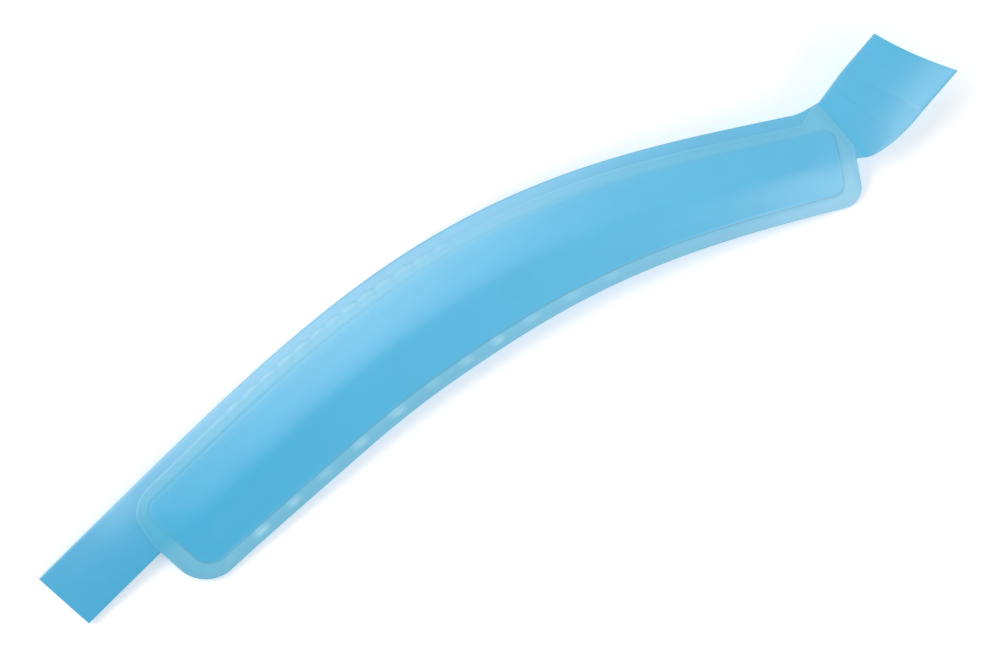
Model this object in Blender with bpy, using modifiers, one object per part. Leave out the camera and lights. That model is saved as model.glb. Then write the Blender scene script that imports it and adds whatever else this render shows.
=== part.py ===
"""A soft cheek retractor band: a film pad on a carrier strap that ends in two pull tabs.

The band lies with its length along +X and its padded front face up. Plan sizes are in
millimetres and become metres when the meshes are made. The band is a stack of thin layers:
back film, strap, core and front film. Each layer is cut in two where the band bends, and
the strap is also cut at its folds, so that every moving stretch is a rigid piece.
"""

import math

import bmesh
import bpy
import numpy as np
from mathutils import Matrix, Vector

MM = 0.001

# The strap's outer edge in plan, from the near tab's corner to the far end of the pad.
EDGE_KNOTS = (
    (-83.95, 4.53),
    (-65.3, 8.3),
    (-45.3, 12.2),
    (-25.3, 15.2),
    (-5.3, 16.3),
    (14.7, 14.5),
    (34.7, 9.4),
    (57.7, 0.9),
)
EDGE_DEGREE = 5
EDGE_RUN_ON = 20.0

# The arch: the band stands like a low tunnel along +X on three points of its rim. The third
# is on the strap's outer edge, which lies above the back film, so the arch is lower there.
REST_POINTS = ((-58.0, -11.2, 0.0), (56.5, -16.2, 0.0), (-5.3, 16.35, -0.55))
ARCH_CURVE = 0.014

# The welded outline. s runs along the outer edge from the near tab's corner, w across it.
WELD_START, WELD_END = 16.9, 153.35
BAND_WIDTH = 21.35
NEAR_NARROWING, NEAR_STRETCH = 0.9, (16, 51)
FAR_NARROWING, FAR_STRETCH = 5.3, (80, 158)
STRIP_WIDTH = 1.8
WELD_WIDTH = 2.2
FAR_WELD_WIDTH = 1.6
PAD_START, PAD_END = 19.1, 150.7
WELD_CORNERS = (6.0, 1.0, 5.5, 3.2)
PAD_CORNERS = (2.4, 1.9, 3.2, 1.9)
FAR_FLARE, FAR_FLARE_STRETCH = 1.4, (144.5, 151)
STRIP_END_STRETCH = (145.2, 148.4)
EDGE_INSET = 0.08

# The layers, measured up from the arch.
FILM = 0.25
STRAP = 0.4
CORE = 0.6
GAP = 0.3
STRAP_LEVEL = FILM + GAP + STRAP / 2
FRONT_LEVEL = FILM + GAP + STRAP + GAP + FILM
PAD_RISE = 0.9
PAD_CROWN = 0.4
CORE_CROWN = 0.32
PAD_SLOPE = 1.2
HALF_SLOPE_RISE = 0.55
BACK_DROP = STRAP + GAP
DROP_FROM, DROP_TO = 10.9, 17.5

# The strap and its tabs.
STRAP_WIDTH = 10.75
FAR_STRAP_WIDTH = 8.3
TAB_GAP = 0.25
FILM_SETBACK = 0.5
NEAR_FOLD = (-65.7, 2.6, 2.3)
NEAR_DROOP = 5.5
NEAR_TAB = ((-18.3, 1.9), (-15.6, -8.5), (-0.25, -5.6), (-0.25, 5.7))
FAR_FOLD = ((62.0, 0.4, 5.2), (63.5, -10.2, 3.5))
FAR_CREASE = ((67.85, 2.5, 7.2), (75.5, -9.65, 4.6))
FAR_TIP = (75.45, 4.85, 9.4)
FAR_TIP_FLARE = 0.03
FAR_TAB_BULGE = 1.3
FAR_TAB_CAMBER = 0.7

# How finely the meshes follow the curves.
EDGE_SAMPLES = 2000
STATIONS = 30
CORNER_STEPS = 4
STRAP_COLUMNS, STRAP_ROWS = 44, 5
TAB_STEPS = 6
FOLD_SAMPLES = 3000
ROW_SHARES = np.array([0, 0.12, 0.26, 0.42, 0.58, 0.74, 0.88, 1])
BEND_GAP = 0.15
SMALLEST_CORNER = 0.5
SPACE = (130.0, 60.0, 30.0)


def smooth(x, start, end):
    """0 before start, 1 after end, and a smooth step between."""
    t = np.clip((np.asarray(x, float) - start) / (end - start), 0, 1)
    return t * t * (3 - 2 * t)


def outer_edge():
    """The strap's outer edge: distance along it, its points and its inward normals."""
    knots = np.array(EDGE_KNOTS)
    curve = np.polynomial.Polynomial.fit(knots[:, 0], knots[:, 1], EDGE_DEGREE)
    x = np.linspace(knots[0, 0], knots[-1, 0], EDGE_SAMPLES)
    points = np.stack([x, curve(x)], axis=1)
    last = points[-1] - points[-2]
    run_on = points[-1] + last / np.linalg.norm(last) * EDGE_RUN_ON
    points = np.vstack([points, run_on])
    steps = np.linalg.norm(np.diff(points, axis=0), axis=1)
    tangents = np.gradient(points, axis=0)
    tangents /= np.linalg.norm(tangents, axis=1)[:, None]
    normals = np.stack([tangents[:, 1], -tangents[:, 0]], axis=1)
    return np.concatenate([[0], np.cumsum(steps)]), points, normals


ALONG, EDGE, NORMALS = outer_edge()


def in_plan(s, w):
    """The plan point that lies s along the outer edge and w inside it."""
    place = [np.interp(s, ALONG, EDGE[:, k]) for k in (0, 1)]
    inward = [np.interp(s, ALONG, NORMALS[:, k]) for k in (0, 1)]
    return place[0] + w * inward[0], place[1] + w * inward[1]


def arch_plane():
    """The plane that brings the arch down to zero at the three rest points."""
    x, y, height = np.array(REST_POINTS).T
    rows = np.column_stack([np.ones(3), x, y])
    return np.linalg.solve(rows, height + ARCH_CURVE * y * y)


ARCH_PLANE = arch_plane()


def arch(x, y):
    """The height of the band's underside above the table."""
    level, along, across = ARCH_PLANE
    return level + along * x + across * y - ARCH_CURVE * y * y


def far_share(s):
    """0 over the near half of the band, rising to 1 at its far end."""
    return smooth(s, *FAR_STRETCH)


def band_width(s):
    near = NEAR_NARROWING * (1 - smooth(s, *NEAR_STRETCH))
    return BAND_WIDTH - near - FAR_NARROWING * far_share(s)


def strap_top(s):
    """The strap's outer edge, which flares out a little at the far end."""
    return -FAR_FLARE * smooth(s, *FAR_FLARE_STRETCH)


def weld_top(s):
    """The film's outer edge, which leaves a bare strip of strap and ends beside its edge."""
    to_edge = strap_top(s) + EDGE_INSET - STRIP_WIDTH
    return STRIP_WIDTH + to_edge * smooth(s, *STRIP_END_STRETCH)


def pad_top(s):
    return STRIP_WIDTH + WELD_WIDTH + (FAR_WELD_WIDTH - WELD_WIDTH) * far_share(s)


def pad_bottom(s):
    return band_width(s) - WELD_WIDTH


def strap_bottom(s):
    return STRAP_WIDTH + (FAR_STRAP_WIDTH - STRAP_WIDTH) * far_share(s)


def outline(start, end, radii, top, bottom):
    """The upper and the lower half of a rounded outline, without its two straight ends.

    radii are those of the corners: near top, far top, near bottom and far bottom.
    """
    angles = np.linspace(0, math.pi / 2, CORNER_STEPS + 1)
    halves = []
    for near, far, edge, inward in ((*radii[:2], top, 1), (*radii[2:], bottom, -1)):
        straight = np.linspace(start + near, end - far, STATIONS + 1)[1:-1]
        near_s, near_w = start + near * (1 - np.cos(angles)), near * (1 - np.sin(angles))
        far_s, far_w = end - far * (1 - np.cos(angles)), far * (1 - np.sin(angles))
        s = np.concatenate([near_s, straight, far_s[::-1]])
        w = np.concatenate([near_w, np.zeros(len(straight)), far_w[::-1]])
        halves.append((s, edge(s) + inward * w))
    return halves


def weld_sides():
    return outline(WELD_START, WELD_END, WELD_CORNERS, weld_top, band_width)


def pad_sides(inset):
    """The two halves of the pad's outline, moved in by inset."""
    return outline(
        PAD_START + inset,
        PAD_END - inset,
        [max(r - inset, SMALLEST_CORNER) for r in PAD_CORNERS],
        lambda s: pad_top(s) + inset,
        lambda s: pad_bottom(s) - inset,
    )


def across_rows(upper, lower):
    """The rows from one half of an outline to the other, at each of the row shares."""
    return [tuple(a + (b - a) * t for a, b in zip(upper, lower)) for t in ROW_SHARES]


def far_fold_x(y):
    (x0, y0, _), (x1, y1, _) = FAR_FOLD
    return x0 + (y - y0) * (x1 - x0) / (y1 - y0)


def to_space(s, w, height):
    """Points in metres, kept clear of both folds."""
    x, y = in_plan(s, w)
    x = np.clip(x, NEAR_FOLD[0] + FILM_SETBACK, far_fold_x(y) - FILM_SETBACK)
    return np.stack([x, y, arch(x, y) + height], axis=1) * MM


def sheet_mesh(name, rings, height):
    """An open sheet: nested outlines, each with its rise, and rows that fill the last one.

    height(w, rise, crown) is a point's height above the arch.
    """
    crowns = 4 * ROW_SHARES * (1 - ROW_SHARES)
    bm = bmesh.new()
    loops = []
    for k, (halves, rise) in enumerate(rings):
        rows = across_rows(*halves)
        if k < len(rings) - 1:
            rows[1:-1] = [tuple(c[[0, -1]] for c in row) for row in rows[1:-1]]
            crowns_here = np.zeros(len(rows))
        else:
            crowns_here = crowns
        loops.append([
            [bm.verts.new(p) for p in to_space(s, w, height(w, rise, crown))]
            for (s, w), crown in zip(rows, crowns_here)
        ])
    for outer, inner in zip(loops, loops[1:]):
        chains = [(outer[k], inner[k]) for k in (0, -1)]
        chains += [([row[k] for row in outer], [row[k] for row in inner]) for k in (0, -1)]
        for first, second in chains:
            join_rows(bm, first, second)
    for first, second in zip(loops[-1], loops[-1][1:]):
        join_rows(bm, first, second)
    return finished_mesh(name, bm)


def join_rows(bm, first, second):
    """Quads between two rows of vertices."""
    for i in range(len(first) - 1):
        bm.faces.new((first[i], second[i], second[i + 1], first[i + 1]))


def finished_mesh(name, bm):
    """The mesh with its faces turned up."""
    bmesh.ops.recalc_face_normals(bm, faces=bm.faces)
    if sum(f.normal.z for f in bm.faces) < 0:
        bmesh.ops.reverse_faces(bm, faces=bm.faces)
    mesh = bpy.data.meshes.new(name)
    bm.to_mesh(mesh)
    bm.free()
    return mesh


def front_film_mesh():
    """The formed film: a flat weld rim, a short slope and a lightly crowned pad."""
    rings = [(weld_sides(), 0)]
    slope = ((0, 0), (0.5, HALF_SLOPE_RISE), (1, 1))
    rings += [(pad_sides(PAD_SLOPE * share), rise) for share, rise in slope]

    def height(w, rise, crown):
        drop = BACK_DROP * smooth(w, DROP_FROM, DROP_TO)
        return FRONT_LEVEL - drop + PAD_RISE * rise + PAD_CROWN * crown

    return sheet_mesh("front_film", rings, height)


def back_film_mesh():
    """The flat film that closes the back, made at its top face."""
    return sheet_mesh("back_film", [(weld_sides(), 0)], lambda w, rise, crown: FILM + 0 * w)


def core_mesh():
    """The core's top face, which follows the inside of the formed film."""
    inside = FRONT_LEVEL + PAD_RISE - FILM - GAP

    def height(w, rise, crown):
        drop = BACK_DROP * smooth(w, DROP_FROM, DROP_TO)
        return inside - drop + CORE_CROWN * crown

    return sheet_mesh("core", [(pad_sides(PAD_SLOPE + GAP + FILM), 0)], height)


def patch_mesh(name, columns, rows, place):
    """A grid whose every point is put where place(u, v) says, in millimetres."""
    bm = bmesh.new()
    bmesh.ops.create_grid(bm, x_segments=columns, y_segments=rows, size=0.5)
    for vertex in bm.verts:
        vertex.co = Vector(place(vertex.co.x + 0.5, vertex.co.y + 0.5)) * MM
    return finished_mesh(name, bm)


def strap_row(s, v):
    """The w of the strap's row v, which is 0 on its outer edge and 1 on its inner."""
    return strap_top(s) + v * (strap_bottom(s) - strap_top(s))


def fold_stations(v):
    """The s at which the strap's row v comes within the tab gap of each fold."""
    s = np.linspace(0, WELD_END + EDGE_RUN_ON / 2, FOLD_SAMPLES)
    x, y = in_plan(s, strap_row(s, v))
    near = np.interp(NEAR_FOLD[0] + TAB_GAP, x, s)
    far = np.interp(-TAB_GAP, x - far_fold_x(y), s)
    return near, far


def strap_place(u, v):
    """The strap behind the pad, from the near fold (u = 0) to the far fold (u = 1)."""
    near, far = fold_stations(v)
    s = near + u * (far - near)
    x, y = in_plan(s, strap_row(s, v))
    return x, y, arch(x, y) + STRAP_LEVEL


def across(a, b, t):
    return Vector(a).lerp(Vector(b), t)


def set_back(a, b):
    """The point that lies the tab gap past a on the way to b."""
    return Vector(a) + (Vector(b) - Vector(a)).normalized() * TAB_GAP


def far_tab_place(u, v):
    """The raised stretch of the far tab, from the fold (u = 0) to the crease (u = 1)."""
    ends = [(set_back(FAR_FOLD[k], FAR_CREASE[k]), set_back(FAR_CREASE[k], FAR_FOLD[k]))
            for k in (0, 1)]
    point = across(across(*ends[0], u), across(*ends[1], u), v)
    hump = 4 * u * (1 - u)
    point.y -= FAR_TAB_BULGE * math.sqrt(hump) * v * v
    point.z += FAR_TAB_CAMBER * hump * 4 * v * (1 - v)
    return point


def far_tip_place(u, v):
    """The far tab's flat tip, beyond its crease."""
    inner, lower, corner = Vector(FAR_CREASE[0]), Vector(FAR_CREASE[1]), Vector(FAR_TIP)
    along = corner - inner
    start = TAB_GAP / along.length
    reach = start + u * (1 + FAR_TIP_FLARE * v - start)
    return inner + along * reach + (lower - inner) * v


def material(name, colour, roughness):
    """A plain plastic material."""
    made = bpy.data.materials.new(name)
    made.use_nodes = True
    shader = made.node_tree.nodes["Principled BSDF"]
    shader.inputs["Base Color"].default_value = (*colour, 1)
    shader.inputs["Roughness"].default_value = roughness
    shader.inputs["Metallic"].default_value = 0
    return made


def add_object(name, data, made_of, collection, parent=None):
    """A named object with its origin at its parent's."""
    made = bpy.data.objects.new(name, data)
    collection.objects.link(made)
    data.materials.clear()
    data.materials.append(made_of)
    made.parent = parent
    return made


def add_axis(name, place, collection, parent=None, parent_place=(0, 0, 0)):
    """An empty on a joint's axis."""
    made = bpy.data.objects.new(name, None)
    made.empty_display_size = 0.01
    collection.objects.link(made)
    made.parent = parent
    made.location = (Vector(place) - Vector(parent_place)) * MM
    return made


def thicken(made, thickness, offset):
    """Gives an open sheet its thickness: offset 0 keeps it in the middle, -1 on top."""
    solid = made.modifiers.new("Thickness", "SOLIDIFY")
    solid.thickness = thickness * MM
    solid.offset = offset


def add_space(name, side_sign, collection):
    """The box that keeps one half of the band: the cutter of the halves."""
    bm = bmesh.new()
    bmesh.ops.create_cube(bm, size=1)
    mesh = bpy.data.meshes.new(name)
    bmesh.ops.scale(bm, vec=Vector(SPACE) * MM, verts=bm.verts)
    bm.to_mesh(mesh)
    bm.free()
    made = bpy.data.objects.new(name, mesh)
    made.location = (side_sign * (SPACE[0] / 2 + BEND_GAP) * MM, 0, 0)
    made.hide_render = True
    made.display_type = "WIRE"
    collection.objects.link(made)
    return made


def keep_half(made, space):
    """Leaves only the half of the object that lies in the space."""
    cut = made.modifiers.new("Half", "BOOLEAN")
    cut.operation = "INTERSECT"
    cut.solver = "EXACT"
    cut.object = space


def about(mesh, place):
    """The mesh, given in world coordinates, about an origin at place."""
    mesh.transform(Matrix.Translation(Vector(place) * -MM))
    return mesh


def near_tab_curve():
    """The near tab's flat outline."""
    curve = bpy.data.curves.new("near_tab", "CURVE")
    curve.dimensions = "2D"
    curve.fill_mode = "BOTH"
    curve.extrude = STRAP / 2 * MM
    spline = curve.splines.new("POLY")
    spline.points.add(len(NEAR_TAB) - 1)
    for point, (x, y) in zip(spline.points, NEAR_TAB):
        point.co = (x * MM, y * MM, 0, 1)
    spline.use_cyclic_u = True
    return curve


def build():
    for made in list(bpy.data.objects):
        bpy.data.objects.remove(made, do_unlink=True)
    band = bpy.data.collections.new("cheek_retractor")
    cutters = bpy.data.collections.new("cutters")
    for collection in (band, cutters):
        bpy.context.scene.collection.children.link(collection)

    strap_blue = material("strap_blue", (0.11, 0.49, 0.77), 0.42)
    film_blue = material("film_blue", (0.14, 0.54, 0.80), 0.38)
    back_blue = material("back_blue", (0.17, 0.57, 0.80), 0.45)
    core_blue = material("core_blue", (0.09, 0.46, 0.76), 0.6)

    bend = add_axis("pad_bend_axis", (0, 0, 0), band)
    near_fold = add_axis("near_fold_axis", NEAR_FOLD, band)
    far_fold = add_axis("far_fold_axis", FAR_FOLD[0], band, bend)
    crease = add_axis("far_crease_axis", FAR_CREASE[0], band, far_fold, FAR_FOLD[0])

    layers = (
        ("back_film", back_film_mesh(), back_blue, FILM, -1),
        ("carrier_strap", patch_mesh("strap", STRAP_COLUMNS, STRAP_ROWS, strap_place), strap_blue, STRAP, 0),
        ("pad_core", core_mesh(), core_blue, CORE, -1),
        ("front_film", front_film_mesh(), film_blue, FILM, -1),
    )
    halves = (
        ("near_half", add_space("near_space", -1, cutters), None),
        ("far_half", add_space("far_space", 1, cutters), bend),
    )
    for layer, mesh, made_of, thickness, offset in layers:
        for half, space, parent in halves:
            made = add_object(f"{layer}_{half}", mesh, made_of, band, parent)
            thicken(made, thickness, offset)
            keep_half(made, space)

    near = add_object("near_pull_tab", near_tab_curve(), strap_blue, band, near_fold)
    near.rotation_euler.y = -math.radians(NEAR_DROOP)

    far_mesh = about(patch_mesh("far_tab", TAB_STEPS, TAB_STEPS, far_tab_place), FAR_FOLD[0])
    far = add_object("far_pull_tab", far_mesh, strap_blue, band, far_fold)
    thicken(far, STRAP, 0)

    tip_mesh = about(patch_mesh("far_tip", 1, 1, far_tip_place), FAR_CREASE[0])
    tip = add_object("far_pull_tab_tip", tip_mesh, strap_blue, band, crease)
    thicken(tip, STRAP, 0)


build()
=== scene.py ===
# %% [markdown]
# # A soft cheek retractor band
#
# The object is a curved, slightly cloudy blue band: a padded film pouch, welded over a strap
# whose two ends stick out as pull tabs. It is made of four soft pieces, laid one on top of
# the other: a back film, the carrier strap, a cushion core and a formed front film.
#
# Every layer is modelled flat first, and then laid along the band's curve. The real one is
# very likely made so too: the layers are cut and welded flat, and take their curve later.

# %% Load the frame
import math

import bmesh
import bpy
import numpy as np
from mathutils import Matrix, Vector


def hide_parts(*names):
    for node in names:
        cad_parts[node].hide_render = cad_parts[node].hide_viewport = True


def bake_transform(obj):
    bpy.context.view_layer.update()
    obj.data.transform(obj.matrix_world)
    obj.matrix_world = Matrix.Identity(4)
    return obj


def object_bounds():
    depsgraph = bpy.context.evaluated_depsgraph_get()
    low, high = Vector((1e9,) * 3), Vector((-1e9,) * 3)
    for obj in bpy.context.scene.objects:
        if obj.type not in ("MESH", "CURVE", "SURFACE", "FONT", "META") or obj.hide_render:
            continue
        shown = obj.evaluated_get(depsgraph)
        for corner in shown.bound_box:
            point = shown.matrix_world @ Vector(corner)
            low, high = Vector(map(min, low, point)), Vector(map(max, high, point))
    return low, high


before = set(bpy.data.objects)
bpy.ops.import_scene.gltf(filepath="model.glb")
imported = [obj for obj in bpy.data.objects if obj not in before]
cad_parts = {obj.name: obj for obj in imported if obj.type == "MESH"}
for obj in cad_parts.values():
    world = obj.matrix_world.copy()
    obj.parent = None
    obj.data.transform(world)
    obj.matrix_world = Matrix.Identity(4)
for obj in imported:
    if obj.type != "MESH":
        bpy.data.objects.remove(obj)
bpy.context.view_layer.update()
MM = 0.001

# %% [markdown]
# ## The curve that the band follows
#
# The strap's outer edge is one smooth bow. It could be a Bezier curve, but a polynomial
# fitted through a few knots gives the same bow and is easy to measure along. From here on, a
# place on the flat band is given by two lengths in millimetres: s, along that edge from the
# near tab's corner, and w, inwards from it.

# %% The outer edge
EDGE_KNOTS = (
    (-83.95, 4.53),
    (-65.3, 8.3),
    (-45.3, 12.2),
    (-25.3, 15.2),
    (-5.3, 16.3),
    (14.7, 14.5),
    (34.7, 9.4),
    (57.7, 0.9),
)
EDGE_DEGREE = 5
EDGE_RUN_ON = 20


def outer_edge(samples=2000):
    """Distance along the strap's outer edge, its points and its inward normals."""
    knots = np.array(EDGE_KNOTS)
    curve = np.polynomial.Polynomial.fit(knots[:, 0], knots[:, 1], EDGE_DEGREE)
    x = np.linspace(knots[0, 0], knots[-1, 0], samples)
    points = np.stack([x, curve(x)], axis=1)
    last = points[-1] - points[-2]
    points = np.vstack([points, points[-1] + last / np.linalg.norm(last) * EDGE_RUN_ON])
    steps = np.linalg.norm(np.diff(points, axis=0), axis=1)
    tangents = np.gradient(points, axis=0)
    tangents /= np.linalg.norm(tangents, axis=1)[:, None]
    normals = np.stack([tangents[:, 1], -tangents[:, 0]], axis=1)
    return np.concatenate([[0], np.cumsum(steps)]), points, normals


ALONG, EDGE, NORMALS = outer_edge()


def in_plan(s, w):
    """The plan point, in millimetres, that lies s along the edge and w inside it."""
    x = np.interp(s, ALONG, EDGE[:, 0]) + w * np.interp(s, ALONG, NORMALS[:, 0])
    y = np.interp(s, ALONG, EDGE[:, 1]) + w * np.interp(s, ALONG, NORMALS[:, 1])
    return x, y


print("outer edge:", round(float(ALONG[-1]) - EDGE_RUN_ON, 1), "mm long")

# %% [markdown]
# ## The arch
#
# The band doesn't lie dead flat. It stands like a low tunnel on three points of its rim, and
# that gentle roll is what catches the light along its upper half. A parabola across the
# band, tipped by a plane that brings the three points down to the table, is enough. Close
# to the far fold the whole end also lifts a little, to meet the raised tab, and the near end
# is twisted a little towards the strap's side.

# %% The arch
REST_POINTS = ((-58.0, -11.2, 0.0), (56.5, -16.2, 0.0), (-5.3, 16.35, -0.25))
ARCH_CURVE = 0.014
NEAR_TWIST, TWIST_RUN = 0.04, 55
NEAR_FOLD = (-65.7, 2.6, 2.3)
FAR_FOLD = ((62.0, 0.4, 5.2), (63.5, -10.2, 3.5))
END_LIFT = 0.5
END_LIFT_RUN = 5.0


def smooth(x, start, end):
    """0 before start, 1 after end, and a smooth step between."""
    t = np.clip((np.asarray(x, float) - start) / (end - start), 0, 1)
    return t * t * (3 - 2 * t)


def bell(x, middle, spread):
    """1 at the middle, falling softly to 0 on both sides of it."""
    return np.exp(-(((x - middle) / spread) ** 2))


def beyond_far_fold(x, y):
    """How far a plan point lies past the far fold line, negative before it."""
    (x0, y0, _), (x1, y1, _) = FAR_FOLD
    slope = (x1 - x0) / (y1 - y0)
    return (x - x0 - (y - y0) * slope) / math.hypot(1, slope)


def arch_plane():
    x, y, height = np.array(REST_POINTS).T
    return np.linalg.solve(np.column_stack([np.ones(3), x, y]), height + ARCH_CURVE * y * y)


LEVEL, TIP_ALONG, TIP_ACROSS = arch_plane()


def arch(x, y):
    """The height of the band's underside above the table, in millimetres."""
    lift = END_LIFT * smooth(beyond_far_fold(x, y), -END_LIFT_RUN, 0)
    twist = NEAR_TWIST * y * smooth(-x, 0, TWIST_RUN)
    return LEVEL + TIP_ALONG * x + TIP_ACROSS * y - ARCH_CURVE * y * y + lift - twist


print("underside above the table in the middle:", round(float(arch(0, 0)), 2), "mm")

# %% [markdown]
# ## Widths along the band
#
# The band keeps its width over its near half and narrows towards the far end. Each long
# edge of the strap, the weld and the pad is a width as a function of s, built from smooth
# steps. The weld is trimmed back from the strap's outer edge, so that a bare strip of strap
# shows, except at the far end, where the weld runs out to the edge.

# %% Edges of the strap
STRAP_WIDTH, STRAP_NARROWING = 10.75, 2.45
NARROWING_STRETCH = (74, 158)
FAR_FLARE, FLARE_STRETCH = 1.4, (144.5, 151)
ROOT_WIDENING, ROOT_STRETCH = 0.6, (152.2, 154)


def far_share(s):
    """0 over the near half of the band, rising to 1 at its far end."""
    return smooth(s, *NARROWING_STRETCH)


def strap_top(s):
    return -FAR_FLARE * smooth(s, *FLARE_STRETCH)


def strap_bottom(s):
    plain = STRAP_WIDTH - STRAP_NARROWING * far_share(s)
    return plain + ROOT_WIDENING * smooth(s, *ROOT_STRETCH)


print("strap width:", [round(float(strap_bottom(s) - strap_top(s)), 1) for s in (20, 100, 153)], "mm")

# %% Edges of the weld and the pad
WELD_START, WELD_END = 16.7, 153.35
PAD_START, PAD_END = 19.7, 150.7
STRIP_WIDTH, WELD_WIDTH = 1.8, 2.2
STRIP_END_STRETCH, EDGE_INSET = (145.2, 148.4), 0.08
SCALLOP_DEPTH, SCALLOP_PITCH = 0.3, 3.5
SCALLOPS_GROW, SCALLOPS_FADE = (26, 50), (70, 96)
BAND_WIDTH, BAND_NARROWING = 21.35, 5.3
NEAR_NARROWING, NEAR_STRETCH = 0.9, (16, 51)
WELD_NARROWING = 0.6


def scallops(s):
    """The weld's wavy outer edge: close lobes, strongest a third of the way along."""
    strength = smooth(s, *SCALLOPS_GROW) * (1 - smooth(s, *SCALLOPS_FADE))
    uneven = s + 0.1 * SCALLOP_PITCH * np.sin(s / 5)
    return strength * np.abs(np.cos(np.pi * uneven / SCALLOP_PITCH)) ** 0.7


def weld_top(s):
    plain = STRIP_WIDTH - SCALLOP_DEPTH * scallops(s)
    at_edge = strap_top(s) + EDGE_INSET
    return plain + (at_edge - plain) * smooth(s, *STRIP_END_STRETCH)


def weld_bottom(s):
    near = NEAR_NARROWING * (1 - smooth(s, *NEAR_STRETCH))
    return BAND_WIDTH - near - BAND_NARROWING * far_share(s)


def pad_top(s):
    return STRIP_WIDTH + WELD_WIDTH - WELD_NARROWING * far_share(s)


def pad_bottom(s):
    return weld_bottom(s) - WELD_WIDTH


print("band width:", [round(float(weld_bottom(s)), 1) for s in (20, 60, 100, 150)], "mm")

# %% [markdown]
# ## Rounded outlines
#
# The weld and the pad are long strips with rounded corners. Drawn as curves, they would have
# to be filled and then cut up again for the pad's wall. One function that says how deep a
# point lies inside the outline does both jobs: zero is the outline itself, and the wall, the
# crown and the thinning of the film are all measured inwards from it.

# %% Depth inside the weld and the pad
NEAR_SLANT, SLANT_FROM = 0.06, 5
PAD_CORNERS = (2.4, 1.9, 3.2, 1.9)
WELD_CORNERS = (6.0, 0.6, 5.5, 3.2)
NEAR_FOLD_GAP, FAR_FOLD_GAP = 0.05, 0.1


def depth_inside(s, w, start, end, top, bottom, radii):
    """How deep a point lies inside a rounded outline, negative outside it.

    radii are those of the corners: near top, far top, near bottom and far bottom.
    """
    near = s - start - NEAR_SLANT * np.maximum(w - SLANT_FROM, 0)
    far, upper, lower = end - s, w - top(s), bottom(s) - w
    depth = np.minimum(np.minimum(near, far), np.minimum(upper, lower))
    corners = ((near, upper), (far, upper), (near, lower), (far, lower))
    for (a, b), radius in zip(corners, radii):
        in_corner = (a < radius) & (b < radius)
        depth = np.where(in_corner, radius - np.hypot(radius - a, radius - b), depth)
    return depth


def pad_depth(s, w):
    return depth_inside(s, w, PAD_START, PAD_END, pad_top, pad_bottom, PAD_CORNERS)


def weld_depth(s, w):
    """Depth inside the weld's outline, which stops just short of both folds."""
    depth = depth_inside(s, w, WELD_START, WELD_END, weld_top, weld_bottom, WELD_CORNERS)
    x, y = in_plan(s, w)
    past_near_fold = x - NEAR_FOLD[0] - NEAR_FOLD_GAP
    before_far_fold = -FAR_FOLD_GAP - beyond_far_fold(x, y)
    return np.minimum(depth, np.minimum(past_near_fold, before_far_fold))


MIDDLE_S = 80
PAD_MIDDLE = (MIDDLE_S, float(pad_top(MIDDLE_S) + pad_bottom(MIDDLE_S)) / 2)
print("the pad's middle lies", round(float(pad_depth(*PAD_MIDDLE)), 1), "mm inside its outline")

# %% [markdown]
# ## Layers from flat grids
#
# A layer starts as a flat grid. Its columns and rows crowd together wherever the surface
# turns quickly, such as along the pad's edge. The corners outside the rounded outline are
# cut off, and the sheet is extruded once, which gives it an upper and a lower skin with a
# closed edge. The two skins then get their own heights, and the layer is laid along the
# curve. A Solidify modifier would also give a thickness, but here the film has to thin out
# towards its weld, so the two skins are set apart.

# %% Grids that are finer where the surface turns
def crowded(knots, counts):
    """Stations through the knots, evenly spaced within each span."""
    spans = [np.linspace(a, b, n, endpoint=False) for a, b, n in zip(knots, knots[1:], counts)]
    return np.concatenate([*spans, [knots[-1]]])


def flat_places(bm):
    """The vertices' s, w and height."""
    flat = np.array([v.co for v in bm.verts])
    return flat[:, 0], -flat[:, 1], flat[:, 2]


def set_places(bm, x, y, z):
    for vertex, place in zip(bm.verts, zip(x, y, z)):
        vertex.co = place


def flat_grid(columns, rows, edges):
    """A flat grid in s and w. rows are shares: 0 to 1 across the first strip, and so on."""
    bm = bmesh.new()
    bmesh.ops.create_grid(bm, x_segments=len(columns) - 1, y_segments=len(rows) - 1, size=0.5)
    across, up, _ = flat_places(bm)
    s = columns[np.rint((across + 0.5) * (len(columns) - 1)).astype(int)]
    share = rows[np.rint((up + 0.5) * (len(rows) - 1)).astype(int)]
    strip = np.minimum(share.astype(int), len(edges) - 2)
    lines = np.array([edge(s) for edge in edges])
    each = np.arange(len(s))
    upper, lower = lines[strip, each], lines[strip + 1, each]
    w = upper + (lower - upper) * (share - strip)
    set_places(bm, s, -w, np.zeros(len(s)))
    return bm


TRIM_STEPS, TOUCHING = 3, 1e-4


def trim(bm, depth, step=1e-3):
    """Cuts a flat grid along an outline: depth(s, w) is negative outside it.

    Points outside slide down the depth's slope on to the outline, and the faces whose
    corners all lay outside are deleted.
    """
    s, w, _ = flat_places(bm)
    outside = depth(s, w) < TOUCHING
    for _ in range(TRIM_STEPS):
        over = np.minimum(depth(s, w), 0)
        slope_s = (depth(s + step, w) - depth(s - step, w)) / (2 * step)
        slope_w = (depth(s, w + step) - depth(s, w - step)) / (2 * step)
        size = np.maximum(slope_s**2 + slope_w**2, 0.25)
        s, w = s - over * slope_s / size, w - over * slope_w / size
    set_places(bm, s, -w, np.zeros(len(s)))
    for vertex, out in zip(bm.verts, outside):
        vertex.tag = bool(out)
    spare = [f for f in bm.faces if all(v.tag for v in f.verts)]
    bmesh.ops.delete(bm, geom=spare, context="FACES")


def two_skins(bm):
    """Extrudes a flat sheet into a closed one. Returns which vertices are the upper skin."""
    sheet = len(bm.verts)
    made = bmesh.ops.extrude_face_region(bm, geom=bm.faces[:])
    upper = {v for v in made["geom"] if isinstance(v, bmesh.types.BMVert)}
    print("  sheet", sheet, "->", len(bm.verts), "vertices")
    return np.array([v in upper for v in bm.verts])


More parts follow.
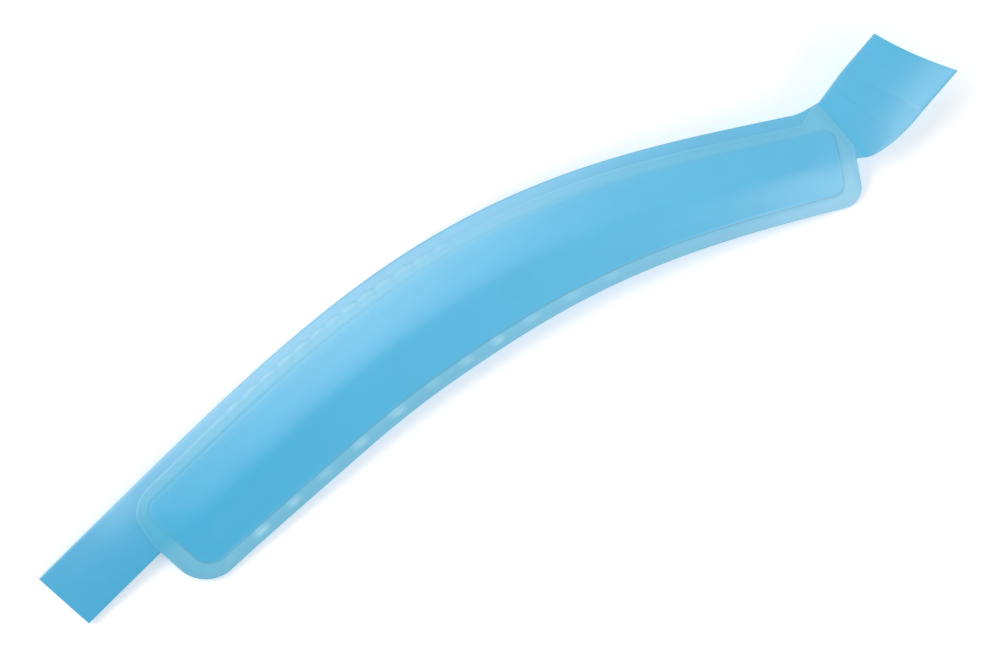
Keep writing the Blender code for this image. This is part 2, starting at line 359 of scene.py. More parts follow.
# %% Skins, tones and finished pieces
def lay_along_band(bm, upper, top, bottom):
    """Gives the two skins their heights above the arch and lays them along the curve."""
    s, w, _ = flat_places(bm)
    x, y = in_plan(s, w)
    height = arch(x, y) + np.where(upper, top(s, w), bottom(s, w))
    set_places(bm, x * MM, y * MM, height * MM)


def give_tone(bm, colours):
    """Stores a colour for every vertex, which the material reads."""
    layer = bm.verts.layers.float_color.new("tone")
    for vertex, colour in zip(bm.verts, colours):
        vertex[layer] = (*colour, 1)


CUT_ANGLE = math.radians(50)


def new_piece(name, bm, material):
    """A finished piece: an object at the origin, smooth shaded, faces outwards."""
    bmesh.ops.recalc_face_normals(bm, faces=bm.faces)
    open_edges = sum(not e.is_manifold for e in bm.edges)
    for edge in bm.edges:
        edge.smooth = edge.calc_face_angle(0) < CUT_ANGLE
    mesh = bpy.data.meshes.new(name)
    bm.to_mesh(mesh)
    bm.free()
    mesh.shade_smooth()
    mesh.materials.append(material)
    piece = bpy.data.objects.new(name, mesh)
    bpy.context.scene.collection.objects.link(piece)
    print(name, "-", len(mesh.polygons), "faces,", open_edges, "open edges")
    return piece


# %% [markdown]
# ## The soft plastic
#
# All four pieces are one family of soft, satin, slightly cloudy plastic. A single flat
# colour would look like paint, so the colour comes in layers: each piece stores its own tone
# at every vertex, a broad noise clouds it, and a very fine noise roughens the gloss and the
# surface. A little subsurface light softens the thin edges, as it does in silicone.

# %% The soft plastic
def soft_plastic(name, roughness, cloud=0.02, grain=1.0):
    """Satin plastic that takes its colour from each piece's own tones."""
    made = bpy.data.materials.new(name)
    made.use_nodes = True
    nodes, links = made.node_tree.nodes, made.node_tree.links
    shader = nodes["Principled BSDF"]
    shader.inputs["IOR"].default_value = 1.6
    shader.inputs["Specular IOR Level"].default_value = 1.0
    shader.inputs["Subsurface Weight"].default_value = 0.2
    shader.inputs["Subsurface Radius"].default_value = (0.5, 0.9, 1.0)
    shader.inputs["Subsurface Scale"].default_value = 0.8 * MM

    place = nodes.new("ShaderNodeTexCoord")
    tone = nodes.new("ShaderNodeAttribute")
    tone.attribute_name = "tone"

    def noise(scale, detail):
        node = nodes.new("ShaderNodeTexNoise")
        node.inputs["Scale"].default_value = scale
        node.inputs["Detail"].default_value = detail
        links.new(place.outputs["Object"], node.inputs["Vector"])
        return node

    clouds = noise(90, 3)
    spread = nodes.new("ShaderNodeMapRange")
    spread.inputs["From Min"].default_value = 0.3
    spread.inputs["From Max"].default_value = 0.7
    spread.inputs["To Min"].default_value = 1 - cloud
    spread.inputs["To Max"].default_value = 1 + cloud
    links.new(clouds.outputs["Fac"], spread.inputs["Value"])
    shade = nodes.new("ShaderNodeVectorMath")
    shade.operation = "SCALE"
    links.new(tone.outputs["Color"], shade.inputs[0])
    links.new(spread.outputs["Result"], shade.inputs["Scale"])
    links.new(shade.outputs["Vector"], shader.inputs["Base Color"])

    fine = noise(1800, 2)
    gloss = nodes.new("ShaderNodeMapRange")
    gloss.inputs["To Min"].default_value = roughness - 0.06
    gloss.inputs["To Max"].default_value = roughness + 0.06
    links.new(fine.outputs["Fac"], gloss.inputs["Value"])
    links.new(gloss.outputs["Result"], shader.inputs["Roughness"])

    bump = nodes.new("ShaderNodeBump")
    bump.inputs["Strength"].default_value = 0.25
    bump.inputs["Distance"].default_value = 0.012 * MM * grain
    links.new(fine.outputs["Fac"], bump.inputs["Height"])
    links.new(bump.outputs["Normal"], shader.inputs["Normal"])
    return made


# %% The blues, as near and far pairs that carry a painted light falloff, and the tones for details, painted light and painted shade
FILM_TONES = ((0.020, 0.488, 0.865), (0.104, 0.598, 0.985))
STRAP_TONES = ((0.028, 0.428, 0.710), (0.070, 0.528, 0.825))
WELD_TONES = ((0.140, 0.588, 0.865), (0.220, 0.680, 0.985))
WELD_ON_STRAP_TONES = ((0.040, 0.500, 0.805), (0.156, 0.640, 0.970))
# pale tone of the bare strip, partly its thin single layer and partly painted highlight; also used
# for painted light on the far tab
STRIP_TONE = (0.19, 0.55, 0.80)
# painted highlight tone for the glints on the weld's waves and bumps
PAINTED_GLINT_TONE = (0.40, 0.74, 0.90)
# painted shade tone for the thin dark line at the pad's foot
FOOT_SHADE_TONE = (0.05, 0.30, 0.50)
# painted shade tone for the edge walls and the crease
EDGE_SHADE_TONE = (0.11, 0.29, 0.41)
CREASE_TONE = (0.22, 0.60, 0.85)
# the stretch over which the painted light falloff pales the tones from the near end to the far end
PAINTED_FALLOFF_STRETCH = (-20, 150)

strap_blue = soft_plastic("strap_blue", 0.36)
film_blue = soft_plastic("film_blue", 0.36)
back_blue = soft_plastic("back_blue", 0.40)
core_blue = soft_plastic("core_blue", 0.60, cloud=0.1, grain=4.0)
print("plastics:", [m.name for m in (strap_blue, film_blue, back_blue, core_blue)])


def along_band(tones, s):
    """Painted light: deeper blue at the near end and paler at the far end, for light that falls off
    towards the near end.
    """
    near, far = np.array(tones)
    return near + (far - near) * smooth(s, *PAINTED_FALLOFF_STRETCH)[:, None]


def mixed(tone, other, share):
    return tone + (np.asarray(other) - tone) * np.asarray(share)[:, None]


# %% [markdown]
# ## The front film
#
# The front film is thermoformed: a flat rim, which is welded down, and a pad that stands up
# from it with a short steep wall. From above that wall is only a thin line. Sculpting would
# never give it an even height, so the height is a function of how deep a point lies inside
# the pad's outline.
#
# Welding pulls the rim into small waves, because the film shrinks as it cools. Along the
# strip they are close together, along the lower rim they are wider apart, and both fade out
# towards the far end. They are real ripples in the mesh, because a bump map would leave the
# outline and the highlights of the rim dead straight.

# %% The front film's heights
BACK_TOP = 0.22
STRAP_UNDER, STRAP_OVER = 0.24, 0.60
STRAP_STEP, SINK_RUN = 0.8, 6
WELD_LIFT = 0.02
WALL_RISE, WALL_RUN = 0.06, 0.4
LOWEST_WALL = 0.2
SHOULDER_RISE, SHOULDER_RUN = 0.02, 1.6
SEAL_DEPTH, SEAL_WIDTH = 0.02, 0.12
CROWN, CROWN_RUN = 0.42, 9


def off_strap(s, w):
    """0 over the strap, 1 where there is no strap between the films."""
    return smooth(w, strap_bottom(s), strap_bottom(s) + STRAP_STEP)


def sunk(s, w):
    """How far the films have come together below the strap: the step is a long one."""
    return smooth(w, strap_bottom(s), strap_bottom(s) + SINK_RUN)


def weld_floor(s, w):
    """The height of what the front film is welded to."""
    return STRAP_OVER + WELD_LIFT - (STRAP_OVER - BACK_TOP) * sunk(s, w)


def pad_height(s, w, depth):
    """How far the pad stands above its rim."""
    across = np.clip((w - pad_top(s)) / (pad_bottom(s) - pad_top(s)), 0, 1)
    wall_share = LOWEST_WALL + (1 - LOWEST_WALL) * smooth(across, 0, 0.8)
    wall = WALL_RISE * wall_share * smooth(depth, 0, WALL_RUN)
    shoulder = SHOULDER_RISE * smooth(depth, 0.1, SHOULDER_RUN)
    crown = CROWN * 4 * across * (1 - across) * smooth(depth, 0, CROWN_RUN)
    seal = SEAL_DEPTH * bell(depth, -SEAL_WIDTH, SEAL_WIDTH)
    return wall + shoulder + crown - seal


pad_rise = pad_height(*PAD_MIDDLE, pad_depth(*PAD_MIDDLE))
print("pad above its rim:", round(float(pad_rise), 2), "mm in the middle")

# %% The waves of the weld
RIPPLE_HEIGHT, RIPPLE_REACH, RIPPLE_SPREAD = 0.035, 0.45, 0.4
BUMP_HEIGHT, BUMP_REACH = 0.2, 0.55
FIRST_BUMP, BUMP_PITCH = 30.4, 7.8
BUMPS_GROW, BUMPS_FADE = (22, 27), (96, 120)


def strip_ripples(s, w):
    """Each lobe of the weld's outer edge stands up a little."""
    return RIPPLE_HEIGHT * scallops(s) * bell(w - weld_top(s), RIPPLE_REACH, RIPPLE_SPREAD)


def rim_bumps(s, w):
    """Longer bumps along the lower rim, none of them quite like the next."""
    strength = smooth(s, *BUMPS_GROW) * (1 - smooth(s, *BUMPS_FADE))
    wave = np.cos(2 * np.pi * (s - FIRST_BUMP + 0.7 * np.sin(s / 6.3)) / BUMP_PITCH)
    size = 0.8 + 0.25 * np.sin(s / 4.1)
    ridge = BUMP_HEIGHT * bell(w - pad_bottom(s), BUMP_REACH, BUMP_REACH)
    return strength * size * np.clip(wave, 0, 1) * ridge


print("lobes", SCALLOP_PITCH, "mm apart, bumps", BUMP_PITCH, "mm apart")

# %% The front film's two skins
FILM = 0.08
THINNEST_FILM, WELD_TAPER = 0.1, 2.0
EDGE_SINK, EDGE_SINK_RUN = 0.03, 0.3
WELD_BITE, WELD_BITE_RUN = 0.08, 0.6


def front_top(s, w):
    depth = pad_depth(s, w)
    taper = THINNEST_FILM + (1 - THINNEST_FILM) * smooth(weld_depth(s, w), 0, WELD_TAPER)
    ripples = strip_ripples(s, w) + rim_bumps(s, w)
    at_edge = 1 - smooth(weld_depth(s, w), 0, EDGE_SINK_RUN)
    sunk_in = EDGE_SINK * at_edge * (1 - off_strap(s, w))
    return weld_floor(s, w) - sunk_in + FILM * taper + ripples + pad_height(s, w, depth)


def front_under(s, w):
    bite = WELD_BITE * (1 - smooth(weld_depth(s, w), 0, WELD_BITE_RUN))
    return weld_floor(s, w) - bite + pad_height(s, w, pad_depth(s, w) - FILM)


print("film:", FILM, "mm thick, and", round(FILM * THINNEST_FILM, 3), "mm at its outer edge")

# %% [markdown]
# ## The front film's colours
#
# The film is a little see-through: over the strap the rim takes some of the strap's blue, and
# the pad is the deepest blue. A thin line of painted shade marks the pad's foot, the weld's
# waves and bumps carry painted highlights, and the film's lower outer edge carries painted
# shade. A shader that really lets light through would be slow to render and needs every layer
# below it to be perfect. Mixing the tones at each vertex gives the same look on a plain
# surface, and the colours stay with the film as it bends.

# %% The front film's colours
PAD_SIDE_RUN = (-0.05, 0.2)
STRAP_SHOWS_TO = (-1.5, 2.5)
# strengths of the painted highlights on the weld's waves and bumps
RIPPLE_SHINE, BUMP_SHINE, MOST_SHINE = 10, 2.5, 0.45
# strength of the painted shade at the pad's foot, and how much of it the lit upper side keeps
FOOT_SHADE_SHARE, FOOT_SHADE_ON_LIT_SIDE = 0.6, 0.3
# strength and width of the painted shade along the film's outer edge
EDGE_SHADE_SHARE, EDGE_SHADE_LINE = 0.5, 0.22


def rim_tones(s, w):
    """The welded rim: greener off the strap."""
    past_strap = smooth(w, *(strap_bottom(s) + end for end in STRAP_SHOWS_TO))
    tones = mixed(along_band(WELD_ON_STRAP_TONES, s), along_band(WELD_TONES, s), past_strap)
    return mixed(along_band(FILM_TONES, s), tones, 1 - smooth(pad_depth(s, w), *PAD_SIDE_RUN))


def foot_shade_line(s, w):
    """Painted shade: a thin dark line at the foot of the pad, weaker along its lit upper side."""
    away = smooth(w, pad_top(s) + 2, pad_bottom(s) - 2)
    side = FOOT_SHADE_ON_LIT_SIDE + (1 - FOOT_SHADE_ON_LIT_SIDE) * away
    side = np.maximum(side, smooth(s, PAD_END - 2, PAD_END))
    return FOOT_SHADE_SHARE * bell(pad_depth(s, w), 0.02, SEAL_WIDTH) * side


def front_tones(s, w):
    # painted highlights where the weld's waves and bumps catch the lights
    painted_glints = RIPPLE_SHINE * strip_ripples(s, w) + BUMP_SHINE * rim_bumps(s, w)
    tones = mixed(rim_tones(s, w), PAINTED_GLINT_TONE, np.clip(painted_glints, 0, MOST_SHINE))
    # painted shade in a thin line at the pad's foot
    tones = mixed(tones, FOOT_SHADE_TONE, foot_shade_line(s, w))
    # painted shade along the film's outer edge where it lies off the strap
    at_edge = 1 - smooth(weld_depth(s, w), 0, EDGE_SHADE_LINE)
    below_strap = smooth(w, strap_bottom(s) - 1, strap_bottom(s))
    return mixed(tones, EDGE_SHADE_TONE, EDGE_SHADE_SHARE * at_edge * below_strap)


# %% [markdown]
# ## Making the front film
#
# The grid has its finest columns and rows where the wall and the weld's edge are, and wide
# ones over the smooth crown. A Subdivision Surface modifier would refine it all alike, and
# the crown needs no more faces.

# %% The front film
FINE = 0.16
NEAR_FINE_END, FAR_FINE_START = PAD_START + 3.4, PAD_END - 2.4
near_columns = round((NEAR_FINE_END - WELD_START) / FINE)
far_columns = round((WELD_END - FAR_FINE_START) / FINE)
columns = crowded(
    (WELD_START, NEAR_FINE_END, 110, FAR_FINE_START, WELD_END),
    (near_columns, 270, 90, far_columns),
)
rows = crowded((0, 1, 1.18, 1.82, 2, 3), (13, 16, 14, 16, 13))
film = flat_grid(columns, rows, (weld_top, pad_top, pad_bottom, weld_bottom))
trim(film, weld_depth)
upper = two_skins(film)
s, w, _ = flat_places(film)
give_tone(film, front_tones(s, w))
lay_along_band(film, upper, front_top, front_under)
front_film = new_piece("front_film", film, film_blue)

# %% [markdown]
# ## The back film
#
# The back film is the plain sheet that closes the pouch. Nothing shows of it from above but
# its edge, but the back view shows all of it, with the strap's outline pressing through. A
# copy of the front film, turned over, would carry the pad's wall to a side that has none, so
# it is made like the front film from a coarser grid and simpler heights.

# %% The back film's heights
BELLY, BELLY_RUN = 0.6, 5
TABLE_GAP = 0.1
STRAP_SHOWS, CORE_SHOWS = 0.8, 0.8


def back_belly(s, w):
    """How far the cushion bulges down, where the arch leaves it room."""
    room = np.maximum(arch(*in_plan(s, w)) - TABLE_GAP, 0)
    return np.minimum(BELLY * smooth(pad_depth(s, w) - 0.2, 0, BELLY_RUN), room)


def back_top(s, w):
    return BACK_TOP - back_belly(s, w)


def back_under(s, w):
    """The underside, which rises a little along its edge to meet the weld."""
    return WELD_BITE * (1 - smooth(weld_depth(s, w), 0, 0.5)) - back_belly(s, w)


def back_tones(s, w):
    over_strap = STRAP_SHOWS * (1 - off_strap(s, w))
    over_core = CORE_SHOWS * smooth(pad_depth(s, w), 0, 0.6) * off_strap(s, w)
    tones = mixed(along_band(WELD_TONES, s), along_band(STRAP_TONES, s), over_strap)
    return mixed(tones, along_band(FILM_TONES, s), over_core)


print("belly:", round(float(back_belly(*PAD_MIDDLE)), 2), "mm in the middle")

# %% The back film
columns = crowded((WELD_START, 24, 146, WELD_END), (40, 150, 40))
back = flat_grid(columns, crowded((0, 1), (48,)), (weld_top, weld_bottom))
trim(back, weld_depth)
upper = two_skins(back)
s, w, _ = flat_places(back)
give_tone(back, back_tones(s, w))
lay_along_band(back, upper, back_top, back_under)
back_film = new_piece("back_film", back, back_blue)

# %% [markdown]
# ## The core
#
# The core is the cushion in the pouch, a sheet of gel or foam. It fills the formed film and
# lies on the strap and on the back film. Cloth with pressure would puff it up, but the film
# holds this cushion to a shape that is known already, so its upper skin is the film's
# underside less a small gap, with its edge rounded off.

# %% The core's heights
CORE_INSET, CORE_ROUNDING = 0.75, 0.5
GAP_OVER, GAP_UNDER = 0.05, 0.04


def core_depth(s, w):
    return pad_depth(s, w) - CORE_INSET


def core_upper_edge(s):
    return pad_top(s) + CORE_INSET


def core_lower_edge(s):
    return pad_bottom(s) - CORE_INSET


def core_top(s, w):
    rounding = CORE_ROUNDING * (1 - smooth(core_depth(s, w), 0, CORE_ROUNDING))
    return front_under(s, w) - GAP_OVER - rounding


def core_under(s, w):
    """It lies on the strap, and beside the strap it sags into the back film's belly."""
    beside = off_strap(s, w)
    over_strap = (STRAP_OVER - BACK_TOP) * (1 - beside)
    return BACK_TOP + GAP_UNDER + over_strap - back_belly(s, w) * beside


# %% The core
columns = crowded((PAD_START + CORE_INSET, 24, 146, PAD_END - CORE_INSET), (16, 120, 16))
cushion = flat_grid(columns, crowded((0, 1), (36,)), (core_upper_edge, core_lower_edge))
trim(cushion, core_depth)
upper = two_skins(cushion)
s, w, _ = flat_places(cushion)
give_tone(cushion, along_band(STRAP_TONES, s))
lay_along_band(cushion, upper, core_top, core_under)
core = new_piece("pad_core", cushion, core_blue)

# %% [markdown]
# ## The carrier strap
#
# The strap is one long strip, which runs from one pull tab to the other. It is folded at
# three places: where each tab leaves the weld, and at a crease across the far tab. A piece
# can bend across one joint only, so the strip is made in four lengths that meet in plain
# butt joints where nothing bends: two of them under the film, and one across the far tab.
# They share their cut edges exactly, so no gap shows.
#
# Bending a flat strip with modifiers would need one for each fold, and they would disturb
# each other. Here each length is a grid whose points are placed by a function of where they
# lie along the strip and across it.

# %% The strap's middle surface, up to the far fold
STRAP_MIDDLE = (STRAP_UNDER + STRAP_OVER) / 2
STRAP_HALF = (STRAP_OVER - STRAP_UNDER) / 2
NEAR_END_SLANT, END_SLANT_RUN = 0.065, 12
NEAR_DROOP, DROOP_EASE = math.tan(math.radians(5.5)), 2.5
FLATTENING, FLATTENING_RUN = 0.85, 16


def row_width(s, v):
    """The w of the strip's row v, which is 0 on its outer edge and 1 on its inner."""
    return strap_top(s) + v * (strap_bottom(s) - strap_top(s))


def strip_place(s, v):
    """The strip's middle surface up to the far fold, in millimetres."""
    w = row_width(s, v)
    x, y = in_plan(s + NEAR_END_SLANT * w * (1 - smooth(s, 0, END_SLANT_RUN)), w)
    behind = NEAR_FOLD[0] - x
    eased = np.clip(behind + DROOP_EASE, 0, 2 * DROOP_EASE) ** 2 / (4 * DROOP_EASE)
    drop = NEAR_DROOP * (eased + np.maximum(behind - DROOP_EASE, 0))
    held = arch(np.maximum(x, NEAR_FOLD[0]), y) + STRAP_MIDDLE
    rounding = 1 - FLATTENING * smooth(behind, 0, FLATTENING_RUN)
    flat = NEAR_FOLD[2] + (held - NEAR_FOLD[2]) * rounding
    return np.stack([x, y, np.where(behind > 0, flat, held) - drop], axis=-1)


FOLD_SEARCH = np.linspace(140, 158, 400)


def fold_station(v):
    """The s at which the strip's row v meets the far fold."""
    x, y = in_plan(FOLD_SEARCH, row_width(FOLD_SEARCH, v))
    return np.interp(0, beyond_far_fold(x, y), FOLD_SEARCH)


print("far fold meets the strip at s =", [round(float(fold_station(v)), 1) for v in (0, 0.5, 1)])

# %% [markdown]
# ## The far tab
#
# The far tab stands up from its fold and has been folded once more and flattened again, so a
# crease with two pale stress marks crosses it. Its lower edge curves in towards the root,
# and its free end is cut a little hollow. It is a ruled surface between three lines, the
# fold, the crease and the end, with the curves added on top. Lofting it between Bezier
# curves would do the same with more points to keep in line.

# %% The far tab's middle surface
CREASE = (np.array((67.65, 2.6, 7.2)), np.array((75.5, -9.65, 4.6)))
TIP_END = (np.array((75.2, 4.85, 9.4)), np.array((83.35, -7.35, 6.85)))
ROOT_CURVE = np.array(((65.3, -11.95, 3.6), (70.3, -11.5, 4.0)))
TAB_CAMBER, CAMBER_RUN = 3.6, 0.8
CREASE_DIP, CREASE_WIDTH = 0.014, 0.02
END_HOLLOW = 0.5


def cubic(t, a, b, c, d):
    """The point at t on the cubic Bezier curve from a to d, drawn towards b and c."""
    return (1 - t) ** 3 * a + 3 * t * (1 - t) ** 2 * b + 3 * t**2 * (1 - t) * c + t**3 * d


def far_tab_place(t, v):
    """The far tab's middle surface: t is 0 at the fold, 1 at the crease and 2 at the end."""
    root = strip_place(fold_station(v), v)
    crease = CREASE[0] + (CREASE[1] - CREASE[0]) * v
    end = TIP_END[0] + (TIP_END[1] - TIP_END[0]) * v
    end = end + (crease - end) / np.linalg.norm(crease - end) * END_HOLLOW * 4 * v * (1 - v)
    place = root + (crease - root) * min(t, 1) + (end - crease) * max(t - 1, 0)
    if t < 1:
        corner = strip_place(fold_station(1), 1)
        straight = corner + (CREASE[1] - corner) * t
        place += (cubic(t, corner, *ROOT_CURVE, CREASE[1]) - straight) * v * v
    place[2] += TAB_CAMBER * (v - v * v) * smooth(t, 0, CAMBER_RUN)
    place[2] -= CREASE_DIP * bell(t, 1, CREASE_WIDTH)
    return place


print("far tab's end, in mm:", [[round(float(c), 1) for c in far_tab_place(2, v)] for v in (0, 1)])

# %% [markdown]
# ## The strap's colours
#
# The strap is the plainest of the blues. Its bare outer strip is one thin layer and looks
# paler, with a painted highlight along its middle stretch. Its cut edges and the crease carry
# painted shade, folding has left the crease with pale marks, and the standing far tab is
# lightened with painted light. They are tones at the vertices again, so no texture has to be
# unwrapped round the folds.

# %% The strap's colours
STRIP_SHARE, STRIP_FADE = 0.6, (0.12, 0.5)
STRIP_START, STRIP_HIGHLIGHT_FROM, STRIP_HIGHLIGHT_TO = (-10, 40), (15, 50), (70, 125)
LONG_MARK_START, LONG_MARK_END, SHORT_MARK_END = (0.74, 0.82), (0.93, 0.99), (0.02, 0.07)
# painted light over the standing far tab, stronger near the lower side of its root
TAB_PAINTED_LIGHT, LOW_ROOT_PAINTED_LIGHT = 0.12, 0.22
CREASE_LINE, MARK_SHARE = 0.022, 0.6
CREASE_SHADE = 0.04


def strap_tones(s, edge):
    # painted shade along the strap's cut edges
    return mixed(along_band(STRAP_TONES, s), EDGE_SHADE_TONE, EDGE_SHADE_SHARE * edge)


def pale_strip(tones, s, v):
    """The bare outer strip is one thin layer and looks paler, with a painted highlight added along
    its middle stretch.
    """
    # painted highlight, strongest along the strip's middle stretch where it mirrors the key light
    middle = smooth(s, *STRIP_HIGHLIGHT_FROM) * (1 - smooth(s, *STRIP_HIGHLIGHT_TO))
    share = STRIP_SHARE * (0.75 + 0.25 * middle) * smooth(s, *STRIP_START)
    return mixed(tones, STRIP_TONE, share * (1 - smooth(v, *STRIP_FADE)))


def stress_marks(v):
    """Where across the tab the crease has gone pale: a long mark and a short, weak one."""
    long_mark = smooth(v, *LONG_MARK_START) * (1 - smooth(v, *LONG_MARK_END))
    return long_mark + 0.5 * (1 - smooth(v, *SHORT_MARK_END))


def strip_coloured(s, v, edge):
    return pale_strip(strap_tones(s, edge), s, v)


# %% [markdown]
# ## Cutting the strap into lengths
#
# One maker serves all four lengths: it lays a grid on the middle surface, stores a colour
# and a half thickness at each vertex, extrudes once and moves the two skins apart. A
# Solidify modifier would thicken along the normals, and two lengths would then part at their
# butt joint, so the skins move straight up and down.

# %% The maker of a strap length
EDGE_ROWS = np.array((0, 0.012, 0.03, 0.06))
ROWS = np.concatenate([EDGE_ROWS, np.linspace(0.1, 0.9, 17), 1 - EDGE_ROWS[::-1]])
EDGE_BAND, EDGE_THINNING = 0.02, 0.35


def strap_length(name, stations, place, coloured, round_columns=()):
    """One length of the strap. place(station, v) is its middle surface."""
    bm = bmesh.new()
    bmesh.ops.create_grid(bm, x_segments=len(stations) - 1, y_segments=len(ROWS) - 1, size=0.5)
    across, up, _ = flat_places(bm)
    column = np.rint((across + 0.5) * (len(stations) - 1)).astype(int)
    row = np.rint((up + 0.5) * (len(ROWS) - 1)).astype(int)
    middle = np.array([place(stations[i], ROWS[j]) for i, j in zip(column, row)])
    set_places(bm, *(middle * MM).T)
    edge = 1 - smooth(np.minimum(ROWS[row], 1 - ROWS[row]), 0, EDGE_BAND)
    edge = np.maximum(edge, np.isin(column, round_columns))
    give_tone(bm, coloured(stations[column], ROWS[row], edge))
    layer = bm.verts.layers.float.new("half")
    for vertex, share in zip(bm.verts, edge):
        vertex[layer] = STRAP_HALF * (1 - EDGE_THINNING * share)
    upper = two_skins(bm)
    for vertex, is_upper in zip(bm.verts, upper):
        vertex.co.z += (1 if is_upper else -1) * vertex[layer] * MM
    return new_piece(name, bm, strap_blue)


# %% The near tab and the strap under the film
NEAR_CUT, FAR_CUT = 26, 140
near_stations = crowded((0, 0.25, 2.5, 12, 24, NEAR_CUT), (2, 3, 16, 48, 4))
near_web = strap_length("near_pull_tab_web", near_stations, strip_place, strip_coloured, (0,))
middle_stations = crowded((NEAR_CUT, FAR_CUT), (228,))
carrier = strap_length("carrier_strap", middle_stations, strip_place, strip_coloured)

# %% [markdown]
# ## The far tab's two lengths
#
# Past the far cut the strip is counted in t instead of s: -1 at the cut, 0 at the fold, 1 at
# the crease and 2 at the free end. The fold runs slantwise across the strip, and with t its
# whole line has one number, so a column of the grid lies exactly on it.

# %% The far tab's two lengths
TAB_CUT = 0.55
TAB_TONE_S = 160


def far_web_place(t, v):
    """The strip from its far cut (t = -1) to the fold (0), and the tab beyond it."""
    if t >= 0:
        return far_tab_place(t, v)
    return strip_place(FAR_CUT + (fold_station(v) - FAR_CUT) * (1 + t), v)


def far_coloured(t, v, edge):
    """The strap's tones past the far cut: the pale marks that folding has left, painted shade in the
    crease, and painted light on the tab.
    """
    tones = strap_tones(FAR_CUT + (TAB_TONE_S - FAR_CUT) * np.clip(1 + t, 0, 1), edge)
    tones = mixed(tones, pale_strip(tones, FAR_CUT, v), 1 - smooth(t, -0.5, 0))
    # painted light: the tab past the fold is lightened, most near its root's lower side
    low_root = smooth(v, 0.4, 1) * (1 - smooth(t, 0.4, 1.3))
    painted_light = TAB_PAINTED_LIGHT + LOW_ROOT_PAINTED_LIGHT * low_root
    tones = mixed(tones, STRIP_TONE, smooth(t, 0, 0.3) * painted_light)
    # painted shade in the crease line, beside the pale stress marks
    on_crease = bell(t, 1, CREASE_LINE)
    tones = mixed(tones, EDGE_SHADE_TONE, CREASE_SHADE * on_crease * (1 - stress_marks(v)))
    return mixed(tones, CREASE_TONE, MARK_SHARE * on_crease * stress_marks(v))


web_stations = crowded((-1, -0.15, 0.15, TAB_CUT), (18, 20, 12))
far_web = strap_length("far_pull_tab_web", web_stations, far_web_place, far_coloured)
end_stations = crowded((TAB_CUT, 0.93, 1.07, 1.9, 1.97, 2), (12, 20, 20, 3, 2))
last_column = len(end_stations) - 1
tip = strap_length("far_pull_tab_end", end_stations, far_tab_place, far_coloured, (last_column,))

# %% [markdown]
# ## Standing in for the frame's parts
#
# Each piece is baked into place, and the frame's parts for its layer are hidden. The real band
# is soft all along, and its tabs bend at living hinges little more than a millimetre wide.

# %% Two points across a fold
def across_line(a, b, before, after):
    """Two points, in metres, on either side of a fold line in plan."""
    (x0, y0), (x1, y1) = a[:2], b[:2]
    middle = Vector(((x0 + x1) / 2, (y0 + y1) / 2, 0))
    over = Vector((y0 - y1, x1 - x0, 0)).normalized()
    return tuple((middle - over * before) * MM), tuple((middle + over * after) * MM)


print("0.5 mm before the crease, in metres:", [round(c, 4) for c in across_line(*CREASE, 0.5, 0)[0]])

# %% Bodies
for piece, layer, slot in (
    (front_film, "front_film", "film_blue"),
    (back_film, "back_film", "back_blue"),
    (core, "pad_core", "core_blue"),
    (carrier, "carrier_strap", "strap_blue"),
):
    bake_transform(piece)
    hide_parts(f"{layer}_near_half", f"{layer}_far_half")

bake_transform(near_web)
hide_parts("near_pull_tab")
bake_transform(far_web)
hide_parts("far_pull_tab")
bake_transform(tip)
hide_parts("far_pull_tab_tip")
print("pieces:", [o.name for o in (front_film, back_film, core, carrier, near_web, far_web, tip)])

# %% [markdown]
# ## Floor and light
#
# The band lies on white paper under a large softbox on each long side. The key light's lower
# edge is low enough to be mirrored only where the arch tips towards it, which draws the soft
# band of light along the upper half and leaves the rest of the pad its own deep blue.

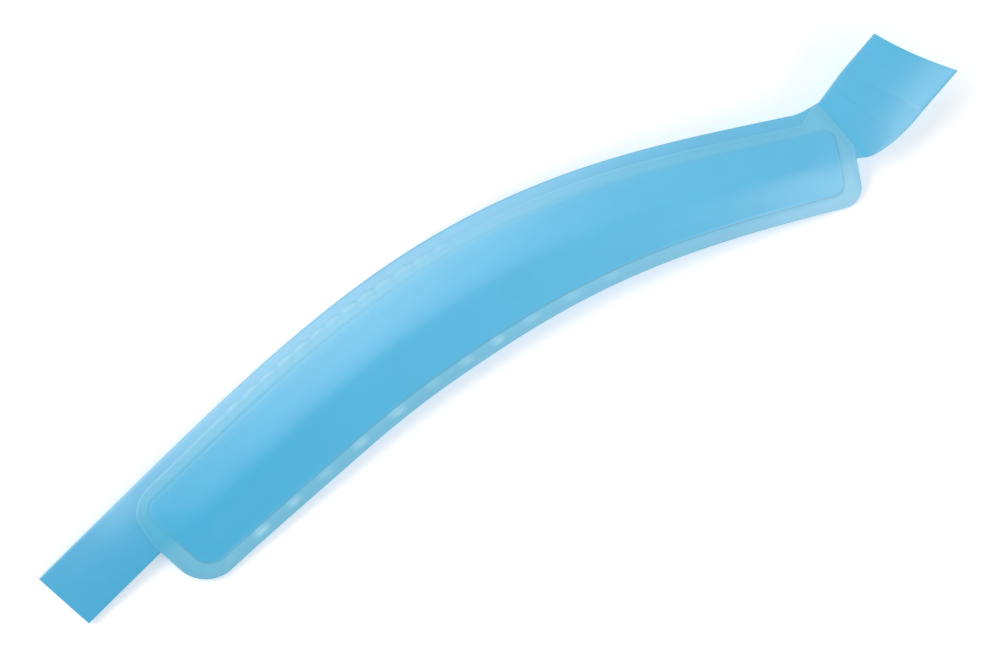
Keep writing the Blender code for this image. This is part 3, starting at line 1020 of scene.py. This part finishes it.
# %% The floor
FLOOR_GAP = 0.05 * MM
FLOOR_REACH = 1.5
bm = bmesh.new()
bmesh.ops.create_grid(bm, x_segments=1, y_segments=1, size=FLOOR_REACH)
bmesh.ops.translate(bm, verts=bm.verts, vec=(0, 0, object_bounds()[0][2] - FLOOR_GAP))
mesh = bpy.data.meshes.new("studio_floor")
bm.to_mesh(mesh)
bm.free()
paper = bpy.data.materials.new("white_paper")
paper.use_nodes = True
paper_shader = paper.node_tree.nodes["Principled BSDF"]
paper_shader.inputs["Base Color"].default_value = (0.97, 0.97, 0.97, 1)
paper_shader.inputs["Roughness"].default_value = 0.9
paper_shader.inputs["Specular IOR Level"].default_value = 0
paper_shader.inputs["Emission Color"].default_value = (1, 1, 1, 1)
paper_shader.inputs["Emission Strength"].default_value = 0.25
mesh.materials.append(paper)
floor = bpy.data.objects.new("studio_floor", mesh)
bpy.context.scene.collection.objects.link(floor)

# %% The light
scene = bpy.context.scene
scene.view_settings.view_transform = "Standard"
world = bpy.data.worlds.new("studio")
scene.world = world
world.use_nodes = True
world.node_tree.nodes["Background"].inputs["Color"].default_value = (1, 1, 1, 1)
world.node_tree.nodes["Background"].inputs["Strength"].default_value = 0.45


def softbox(name, side, tilt, size, radiance, roll=0, distance=0.9):
    """A rectangular light, side metres along X, tilted by tilt degrees towards +Y."""
    data = bpy.data.lights.new(name, "AREA")
    data.shape = "RECTANGLE"
    data.size, data.size_y = size
    data.energy = radiance * math.pi * size[0] * size[1]
    lamp = bpy.data.objects.new(name, data)
    scene.collection.objects.link(lamp)
    angle = math.radians(tilt)
    lamp.location = (side, math.sin(angle) * distance, math.cos(angle) * distance)
    aimed = Vector(lamp.location).to_track_quat("Z", "Y").to_matrix()
    lamp.rotation_euler = (aimed @ Matrix.Rotation(math.radians(roll), 3, "Z")).to_euler()
    return lamp


softbox("key_softbox", side=-0.38, tilt=42, size=(0.9, 0.56), radiance=3.3, roll=12)
softbox("fill_softbox", side=0.3, tilt=-52, size=(1.2, 0.36), radiance=2.25)

# %% [markdown]
# ## The camera
#
# The camera looks straight down on the band through a long lens, so that the band keeps its
# own proportions, and is rolled so that the band rises to the right.

# %% The camera
ROLL = math.radians(33)
LENS, SENSOR = 250, 36
VIEW_WIDTH = 0.1597
AIM = Vector((-0.52, -2.63, 3.5)) * MM
data = bpy.data.cameras.new("camera")
data.lens, data.sensor_width = LENS, SENSOR
camera = bpy.data.objects.new("camera", data)
scene.collection.objects.link(camera)
camera.location = AIM + Vector((0, 0, VIEW_WIDTH * LENS / SENSOR))
camera.rotation_euler.z = -ROLL
scene.camera = camera
print("camera:", round(camera.location.z, 2), "m above the table")
